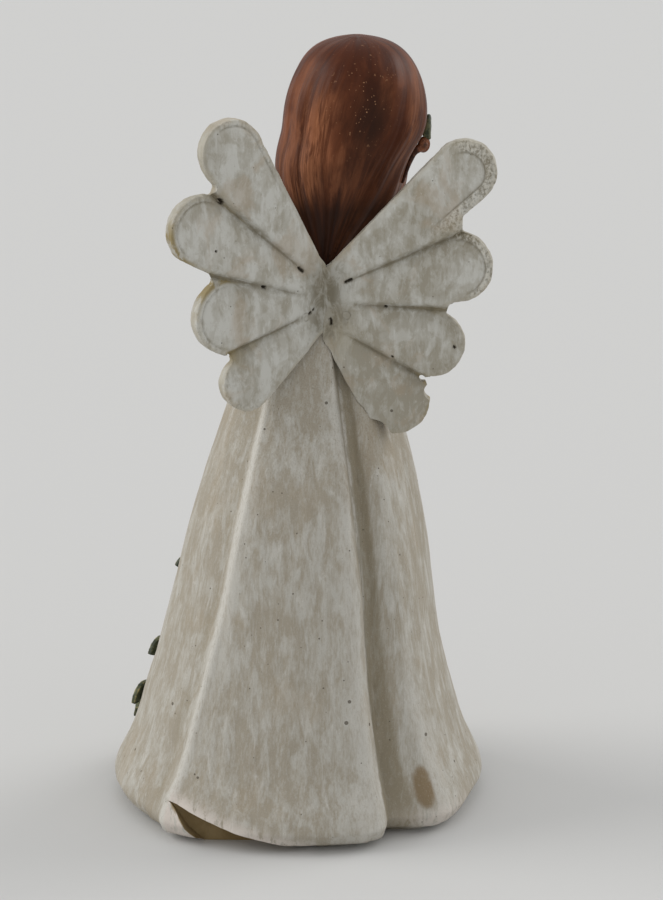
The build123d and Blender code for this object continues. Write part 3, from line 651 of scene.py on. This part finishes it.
    points = np.concatenate(rings)
    count = len(rings)
    faces = []
    for r in range(count - 1):
        for c in range(columns):
            d = (c + 1) % columns
            faces.append((r * columns + c, (r + 1) * columns + c, (r + 1) * columns + d, r * columns + d))
    faces.append(tuple(range(columns)))
    mesh = bpy.data.meshes.new("gown")
    mesh.from_pydata(points.tolist(), [], faces)
    store(mesh, "relief", np.concatenate(raised))
    store(mesh, "inside", np.concatenate(inner))
    store(mesh, "worn", np.concatenate([mark[0] for mark in marks]))
    store(mesh, "rubbed", np.concatenate([mark[1] for mark in marks]))
    store(mesh, "crest", np.concatenate([mark[2] for mark in marks]))
    build = bmesh.new()
    build.from_mesh(mesh)
    bmesh.ops.remove_doubles(build, verts=build.verts, dist=2e-6)
    bmesh.ops.recalc_face_normals(build, faces=build.faces)
    build.to_mesh(mesh)
    build.free()
    return mesh


gown = add_piece("gown_body", gown_mesh(), gown_paint, "gown_paint", "gown")
gown.data.set_sharp_from_angle(angle=radians(52))

# ---------------------------------------------------------------- wings
WING_ROOT = np.array([-3.1, 18.5, 137.4]) * MM
WING_SWEEP = radians(15.0)
FEATHER_START = 2.0  # from the root to the middle of a feather's inner end
GROOVE_REACH = 2.6  # to either side of a groove that the CAD has
WING_DEPTH = 3.0  # how far in from the back face the shape is changed
# Feathers from the top: angle, length to the tip's centre, radius of the tip and half width at the root.
FEATHERS = {
    "left": [
        (58.3, 48.6, 8.3, 4.8),
        (33.4, 40.4, 8.9, 5.0),
        (-1.1, 26.4, 9.6, 5.0),
        (-40.5, 28.2, 7.0, 5.0),
    ],
    "right": [
        (44.6, 49.2, 8.2, 6.2),
        (16.6, 35.0, 8.9, 5.0),
        (-20.4, 29.0, 8.4, 5.0),
        (-54.1, 30.4, 9.0, 5.0),
    ],
}
NOTCHES = {
    "left": [(30.6, 30.9), (31.3, 10.6), (26.3, -10.1)],
    "right": [(34.6, 18.6), (31.0, -1.4), (24.3, -18.9)],
}
# Painted light and shade, one value for each feather, taken off the light wash: the left wing's feathers are
# lighter and the right wing's lower feathers darker.
FEATHER_SHADE = {"left": [-0.22, -0.22, -0.22, -0.22], "right": [-0.08, -0.05, 0.12, 0.24]}  # of each feather
GROOVE_FEET = {"left": (4.2, 1.3, -0.6), "right": (3.7, 0.5, -4.7)}  # where each groove would meet the seam
# Dark pits and short dark dashes, as two ends and a width.
PITS = {
    "left": [(6.2, 9.3, 7.2, 10.2, 0.42), (16.6, 6.2, 17.2, 6.4, 0.4), (28.0, 28.9, 28.6, 29.5, 0.6),
             (4.0, -1.6, 4.3, -1.9, 0.36), (3.0, -0.8, 3.2, -1.0, 0.3), (30.5, 17.0, 30.7, 17.2, 0.24)],
    "right": [(5.2, 6.0, 6.6, 6.7, 0.42), (32.8, -10.4, 33.0, -10.7, 0.36), (1.4, -3.6, 1.6, -5.2, 0.3),
              (15.2, -0.4, 15.5, -0.4, 0.3), (17.0, -13.2, 17.2, -13.4, 0.26)],
}


def wing_mesh(side):
    sign = 1 if side == "left" else -1
    outward = np.array([sign * cos(WING_SWEEP), sin(WING_SWEEP), 0])
    back = np.array([-sign * sin(WING_SWEEP), cos(WING_SWEEP), 0])
    mesh = remeshed("wing_" + side, 0.27 * MM, 3)
    points = points_of(mesh)
    place = (points - WING_ROOT) / MM
    across, up, out = place @ outward, place[:, 2], place @ back
    insides, alongs, bearings = [], [], []
    for angle, length, tip, root in FEATHERS[side]:
        way = np.array([cos(radians(angle)), sin(radians(angle))])
        span = length - FEATHER_START
        along = np.clip((across * way[0] + up * way[1] - FEATHER_START) / span, 0, 1)
        reach = FEATHER_START + along * span
        insides.append(root + (tip - root) * along - np.hypot(across - reach * way[0], up - reach * way[1]))
        alongs.append(along)
        bearing = np.degrees(np.arctan2(up - length * way[1], across - length * way[0])) - angle
        bearings.append((bearing + 180) % 360 - 180)
    insides, alongs, bearings = np.array(insides), np.array(alongs), np.array(bearings)
    lobe = insides.argmax(0)
    depth = insides.max(0)
    own = np.arange(len(lobe))
    along, bearing = alongs[lobe, own], bearings[lobe, own]
    tip = step(along, 0.55, 0.85)
    # Valleys run from near the root to the notches, deep at the notch and faint at the root.
    valley, crease, inner = np.zeros(len(points)), np.zeros(len(points)), np.zeros(len(points), dtype=bool)
    for (u, v), foot in zip(NOTCHES[side], GROOVE_FEET[side]):
        length = hypot(u, v - foot)
        du, dv = u / length, (v - foot) / length
        run = across * du + (up - foot) * dv
        over = (up - foot) * du - across * dv
        beyond = np.clip(run - length, 0, None)
        share = np.clip(run / length, 0, 1)
        steep = np.exp(-((np.hypot(np.clip(over, 0, None), beyond) / 1.0) ** 2))
        gentle = np.exp(-((np.hypot(over, beyond) / (1.4 + 3.2 * share)) ** 1.3))
        fade = step(run, 1.0, 12.0)
        valley = np.maximum(valley, np.where(over > 0, steep, gentle) * (0.15 + 0.85 * share) * fade)
        crease = np.maximum(crease, np.exp(-((np.hypot(over, beyond) / 0.6) ** 2)) * step(run, 3, 9))
        inner |= (np.hypot(over, beyond) < GROOVE_REACH) & (out > -GROOVE_REACH)
        run = np.hypot(across, up)
        apart = np.abs(up * u - across * v) / hypot(u, v) + np.clip(run - hypot(u, v), 0, None)
        inner |= (apart < 2.4) & (out > -GROOVE_REACH)
    # Each feather is domed, sinks towards the seam and meets the other wing in a fillet.
    dome = 0.75 * (1 - np.exp(-np.clip(depth, 0, None) / 2.4))
    dome += 0.25 * noise_at(points, 9 * MM, 9 * MM, 2.0)
    saddle = 1.5 * np.exp(-((across / 4.6) ** 2)) * np.exp(-(((up - 1.0) / 11.0) ** 4))
    fillet = tan(WING_SWEEP) * np.clip(4.5 - across, 0, 4.5) ** 2 / 9.0
    surface = dome - valley * 1.9 - crease * 0.3 - saddle + fillet
    # Only the back face is shaped.
    flat = np.maximum(step(out, -1.3, -0.3), np.where(inner, 1.0, 0.0))
    flat = np.maximum(flat, (out > -1.4) * (1 - step(across, 0.6, 1.4)))
    behind = flat * (out > -WING_DEPTH)
    # A scored line or a raised rim follows the outer edge of some tips.
    if side == "left":
        outer = np.where(lobe == 0, step(bearing, -15, 15), 1 - step(np.abs(bearing), 60, 95))
        line = near(depth, 1.55, 0.26) * tip * outer * (lobe < 3)
        rim = 0.35 * (1 - step(depth, 1.4, 1.7)) * tip * outer
    else:
        outer = np.where(lobe == 0, 1 - step(bearing, 40, 80), 1 - step(np.abs(bearing), 60, 100))
        wide = np.where(lobe == 0, 3.0, 1.9)
        rim = (1 - step(depth, wide - 0.4, wide)) * tip * outer * np.where(lobe < 2, 1.0, 0.2)
        line = near(depth, wide, 0.3) * tip * outer * np.where(lobe < 2, 1.0, 0.15)
    rise = surface + 0.12 * rim - 0.28 * line
    rise += noise_at(points, 4.5 * MM, 6 * MM, 5.0) * 0.16 + noise_at(points, 1.8 * MM, 5 * MM, 7.0) * 0.08
    rise += rim * noise_at(points, 0.7 * MM, 0.7 * MM, 4.0) * 0.12
    pit = np.zeros_like(depth)
    for u0, v0, u1, v1, width in PITS[side]:
        du, dv = u1 - u0, v1 - v0
        share = np.clip(((across - u0) * du + (up - v0) * dv) / (du * du + dv * dv), 0, 1)
        gap = np.hypot(across - u0 - share * du, up - v0 - share * dv)
        gap = gap * (1 + 0.35 * noise_at(points, 0.5 * MM, 0.5 * MM, 3.0))
        pit = np.maximum(pit, 1 - step(gap, width * 0.6, width * 1.1))
    rise -= pit * 0.7
    base = np.where(inner | (across < 1.4), np.clip(out, -WING_DEPTH, 0), out * step(out, -1.3, -0.3))
    moved = (rise - base) * behind
    # The edges are worn and a little uneven.
    ragged = 0.22 * noise_at(points, 3.2 * MM, 3.2 * MM, 8.0) + 0.1 * noise_at(points, 1.1 * MM)
    ragged *= 1 - step(depth, 0.0, 1.6)
    centre_u = np.array([f[1] * cos(radians(f[0])) for f in FEATHERS[side]])[lobe]
    centre_v = np.array([f[1] * sin(radians(f[0])) for f in FEATHERS[side]])[lobe]
    away = np.hypot(across - centre_u, up - centre_v) + 1e-6
    points = points + back * (moved * MM)[:, None]
    points -= outward * ((1 - step(across, 0.0, 1.6)) * 0.55 * MM)[:, None]
    points += outward * (ragged * (across - centre_u) / away * MM)[:, None]
    points[:, 2] += ragged * (up - centre_v) / away * MM
    set_points(mesh, points)
    smoothed(mesh, 1)
    store_relief(mesh, 26, 0.3 * MM)
    edge = 1 - step(depth, 0.2, 1.3)
    if side == "left":
        worst = np.maximum(near(bearing, 75, 45) * (lobe == 2), near(bearing, -60, 40) * (lobe == 1))
        bare = edge * (worst + 0.35)
        bare = np.maximum(bare, 0.9 * near(np.hypot(across - 26.3, up + 10.6), 0, 3.0))
    else:
        bare = edge * (np.maximum(near(bearing, 65, 40) * (lobe == 3), 0.25))
        bare = np.maximum(bare, 0.35 * near(across, 4.0, 4.0) * near(up, -9.0, 7.0))
    store(mesh, "rim", rim * behind)
    store(mesh, "pit", pit * behind)
    # Where painted shade and dirt go: the valleys, creases, scored lines and the dip between the wings.
    store(mesh, "groove", np.clip(valley * 0.45 + crease * 0.35 + saddle * 0.8 + line * 0.5, 0, 1) * behind)
    store(mesh, "tan", np.clip(bare, 0, 1))
    store(mesh, "feather_shade", np.array(FEATHER_SHADE[side])[lobe])
    return mesh


for side in ("left", "right"):
    add_piece("wing_" + side + "_cast", wing_mesh(side), wing_paint, "wing_paint", "wing_" + side)

# ---------------------------------------------------------------- hair
CROWN = np.array([-15.2, 0.6, 203.0]) * MM
TAIL_END = np.array([-4.0, 12.5, 145.0]) * MM


def hair_mesh():
    mesh = remeshed("hair", 0.42 * MM, 4)
    points = points_of(mesh)
    normals = normals_of(mesh)
    down = np.clip((CROWN[2] - points[:, 2]) / (CROWN[2] - TAIL_END[2]), 0, 1)
    middle = CROWN + (TAIL_END - CROWN) * down[:, None]
    turn = np.arctan2(points[:, 1] - middle[:, 1], points[:, 0] - middle[:, 0])
    turn = turn + 0.25 * np.sin(down * 3.0)
    flow = np.stack([np.cos(turn), np.sin(turn), down], axis=-1)
    lock = noise_at(flow, 1 / 4.2, 1 / 1.4, 1.0)
    strand = noise_at(flow, 1 / 11.0, 1 / 2.0, 6.0)
    hairline = noise_at(flow, 1 / 30.0, 1 / 3.0, 2.0)
    reach = step(down, 0.02, 0.2)
    rise = (lock * 0.6 + strand * 0.14 + hairline * 0.04) * MM * reach
    set_points(mesh, points + normals * rise[:, None])
    store_relief(mesh, 12, 0.14 * MM)
    mesh.attributes.new("flow", "FLOAT_VECTOR", "POINT").data.foreach_set("vector", flow.ravel())
    east = (points[:, 0] - middle[:, 0]) / MM
    # Painted highlights: a band on the left of the upper hair, a thin line down the right edge and a band
    # across the lower hair.
    light = 0.95 * near(east, 9.6, 3.4) * step(down, 0.14, 0.3) * (1 - 0.6 * step(down, 0.6, 0.8))
    light += 0.55 * near(east, -15.5, 2.6) + 0.3 * near(down, 0.6, 0.12)
    # Darker in the middle of the upper hair and more so towards the tail.
    dark = 0.9 * near(east, -3.0, 5.5) * near(down, 0.34, 0.2)
    dark += 1.1 * step(down, 0.6, 0.84) + 0.35 * step(down, 0.4, 0.6)
    dusty = near(east, 0.0, 7.0) * near(down, 0.22, 0.2)
    for name, values in (("light", light), ("dark", dark), ("dusty", dusty)):
        store(mesh, name, np.clip(values, 0, 1))
    return mesh


add_piece("hair_cast", hair_mesh(), hair_paint, "hair_paint", "hair")


def curl_mesh():
    """The rolled end of a lock, with the lock itself lying back along the hair."""
    course = np.array([(-31.6, 5.4, 175.0), (-29.6, 7.4, 173.6), (-26.8, 9.0, 171.0), (-23.6, 10.2, 167.0)])
    hair = cad_tree("hair")
    beads = []
    for k in range(40):
        share = k / 39 * (len(course) - 1)
        first = min(int(share), len(course) - 2)
        place = Vector(course[first] + (course[first + 1] - course[first]) * (share - first)) * MM
        if k > 4:
            skin = hair.find_nearest(place)[0]
            place = place.lerp(skin, min(1.0, (k - 4) / 12))
        beads.append((place, (1.25 - 0.85 * k / 39) * MM))
    mesh = remeshed("side_curl", 0.16 * MM, 6, beads)
    points = points_of(mesh)
    middle = np.array([-31.7, 5.4, 175.1]) * MM
    east, up = points[:, 0] - middle[0], points[:, 2] - middle[2]
    flow = np.stack([np.hypot(east, up) * 600, points[:, 1] * 600, np.arctan2(up, east) / 6], -1)
    store_relief(mesh, 8, 0.08 * MM)
    away = np.hypot(east, up) / MM
    # Painted highlight on the roll and painted shade in its eye, darker along the lock.
    store(mesh, "light", 0.6 * (1 - step(away, 1.2, 2.6)))
    store(mesh, "dark", np.maximum(near(away, 0, 0.7), 0.9 * step(away, 1.4, 3.0)))
    store(mesh, "dusty", np.full(len(points), 0.1))
    mesh.attributes.new("flow", "FLOAT_VECTOR", "POINT").data.foreach_set("vector", flow.ravel())
    return mesh


add_piece("side_curl_cast", curl_mesh(), hair_paint, "hair_paint", "side_curl")

# ---------------------------------------------------------------- head
HEAD_CENTRE = Vector((-14.0, -3.0, 182.5)) * MM
HEAD_TURN = Matrix.Rotation(radians(4), 3, "X") @ Matrix.Rotation(radians(-15), 3, "Y")
HEAD_TURN = HEAD_TURN @ Matrix.Rotation(radians(-20), 3, "Z")


def stroke(across, up, course, width):
    """How near each point is to a course of places, as 1 on it and 0 beyond its width."""
    best = np.full(len(across), 1e9)
    for (u0, v0), (u1, v1) in zip(course, course[1:]):
        du, dv = u1 - u0, v1 - v0
        share = np.clip(((across - u0) * du + (up - v0) * dv) / (du * du + dv * dv), 0, 1)
        best = np.minimum(best, np.hypot(across - u0 - share * du, up - v0 - share * dv))
    return 1 - step(best, width * 0.6, width)


def head_mesh():
    mesh = remeshed("head", 0.26 * MM, 5)
    points = points_of(mesh)
    local = (points - np.array(HEAD_CENTRE)) @ np.array(HEAD_TURN) / MM
    across, front, up = local[:, 0], -local[:, 1], local[:, 2]
    ahead = step(front, 5.0, 8.0)
    side = np.abs(across)
    lash = [(2.6, 0.0), (3.6, -0.7), (4.9, -0.9), (6.2, -0.5), (7.0, 0.2)]
    brow = [(2.4, 3.2), (4.0, 4.2), (5.8, 4.4), (7.6, 3.6)]
    lines = np.maximum(stroke(side, up, lash, 0.42), 0.6 * stroke(side, up, brow, 0.55)) * ahead
    cheeks = np.exp(-(((side - 6.2) / 2.8) ** 2 + ((up + 5.0) / 2.4) ** 2)) * ahead
    lips = (1 - step(np.abs(up + 9.2) / np.clip(1.35 - 0.4 * side, 0.05, None), 0.75, 1.0)) * (side < 2.9)
    lips = lips * ahead
    parting = near(up + 9.2 - 0.08 * side, 0, 0.22) * (side < 2.5) * ahead
    rise = -0.16 * parting - 0.1 * stroke(side, up, lash, 0.4) * ahead + noise_at(points, 3 * MM) * 0.03
    set_points(mesh, points + normals_of(mesh) * (rise * MM)[:, None])
    store_relief(mesh, 14, 0.2 * MM)
    store(mesh, "lines", np.clip(lines + 0.5 * parting, 0, 1))
    store(mesh, "cheeks", cheeks)
    store(mesh, "lips", np.clip(lips, 0, 1) * 0.9)
    return mesh


add_piece("head_cast", head_mesh(), skin_paint, "skin_paint", "head")

# ---------------------------------------------------------------- sleeves and hands
WRIST_Y, WRIST_Z = -0.0206, 0.129  # where both hands start
HAND_LEAN = radians(18.0)
FINGER_GAPS = (-1.5, 0.0, 1.5)

for side in ("left", "right"):
    mesh = remeshed("sleeve_" + side, 0.34 * MM, 5)
    points = points_of(mesh)
    fold = noise_at(points @ np.array([[1, 0.2, 0], [-0.5, 1, 0.5], [0, -0.3, 1]]), 4.2 * MM, 7.5 * MM, 5.0)
    fine = noise_at(points, 1.2 * MM, 5 * MM, 8.0)
    rise = (np.abs(fold) * 1.0 - 0.25 + fine * 0.08) * MM
    set_points(mesh, points + normals_of(mesh) * rise[:, None])
    smoothed(mesh, 1)
    store_relief(mesh, 14, 0.25 * MM)
    for name in ("inside", "worn", "rubbed", "crest"):
        store(mesh, name, np.zeros(len(points)))
    add_piece("sleeve_" + side + "_cast", mesh, gown_paint, "gown_paint", "sleeve_" + side)

    mesh = remeshed("hand_" + side, 0.16 * MM, 4)
    points = points_of(mesh)
    forward, up = points[:, 1] - WRIST_Y, points[:, 2] - WRIST_Z
    along = (up * cos(HAND_LEAN) - forward * sin(HAND_LEAN)) / MM
    breadth = (forward * cos(HAND_LEAN) + up * sin(HAND_LEAN)) / MM
    fingers = sum(near(breadth, place, 0.22) for place in FINGER_GAPS) * step(along, 8.0, 10.0)
    rise = (-0.28 * fingers + noise_at(points, 1.6 * MM) * 0.03) * MM
    set_points(mesh, points + normals_of(mesh) * rise[:, None])
    store_relief(mesh, 10, 0.12 * MM)
    for name in ("lines", "cheeks", "lips"):
        store(mesh, name, np.zeros(len(points)))
    add_piece("hand_" + side + "_cast", mesh, skin_paint, "skin_paint", "hand_" + side)

# ---------------------------------------------------------------- leaves
for node in ("garland_upper", "garland_middle", "garland_lower", "hair_leaf"):
    mesh = remeshed(node, 0.2 * MM, 3)
    points = points_of(mesh)
    thicker = 0.25 if node == "hair_leaf" else 0.0
    rise = (noise_at(points, 1.5 * MM) * 0.1 + noise_at(points, 0.6 * MM) * 0.04 + thicker) * MM
    set_points(mesh, points + normals_of(mesh) * rise[:, None])
    store_relief(mesh, 8, 0.12 * MM)
    store(mesh, "worn", np.full(len(points), 0.15 if node == "hair_leaf" else 0.9))
    add_piece(node + "_cast", mesh, leaf_paint, "leaf_paint", node)

# ---------------------------------------------------------------- base and pins
WING_PINS = [f"wing_dowel_{side}_{place}" for side in ("left", "right") for place in ("upper", "lower")]
for node in ["base_plug", "neck_dowel"] + WING_PINS:
    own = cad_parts[node]
    material, slot = (bare_resin, "bare_resin") if node == "base_plug" else (pin_wire, "pin_steel")
    own.data.materials.clear()
    own.data.materials.append(material)


def felt_mesh():
    """A disc of felt with a fuzzy face and a slightly ragged edge."""
    rings, spokes, thick = 60, 260, 1.2 * MM
    rng = np.random.default_rng(11)
    points, faces = [], []
    turns = np.arange(spokes) * 2 * pi / spokes
    ragged = 35.9 + rng.normal(0, 0.06, spokes)
    for level, rise in ((thick - 0.02 * MM, -1), (0.02 * MM, 1)):
        for k in range(rings + 1):
            radius = ragged * (0.02 + 0.98 * k / rings) * MM
            fuzz = rng.normal(0, 0.02, spokes) * MM * rise
            fuzz = np.abs(fuzz) * rise
            points.append(np.stack([radius * np.cos(turns), radius * np.sin(turns), level + fuzz], -1))
    grid = np.concatenate(points)
    half = (rings + 1) * spokes
    for k in range(rings):
        for c in range(spokes):
            d = (c + 1) % spokes
            a, b, e, f = k * spokes + c, k * spokes + d, (k + 1) * spokes + d, (k + 1) * spokes + c
            faces.append((a, f, e, b))
            faces.append((half + a, half + b, half + e, half + f))
    edge = rings * spokes
    for c in range(spokes):
        d = (c + 1) % spokes
        faces.append((edge + c, half + edge + c, half + edge + d, edge + d))
    faces.append(tuple(range(spokes)))
    faces.append(tuple(half + c for c in reversed(range(spokes))))
    mesh = bpy.data.meshes.new("felt")
    mesh.from_pydata(grid.tolist(), [], faces)
    return mesh


felt = add_piece("felt_disc", felt_mesh(), felt_cloth, "felt", "felt_base")

# ---------------------------------------------------------------- colour view
bpy.context.scene.view_settings.view_transform = "Standard"
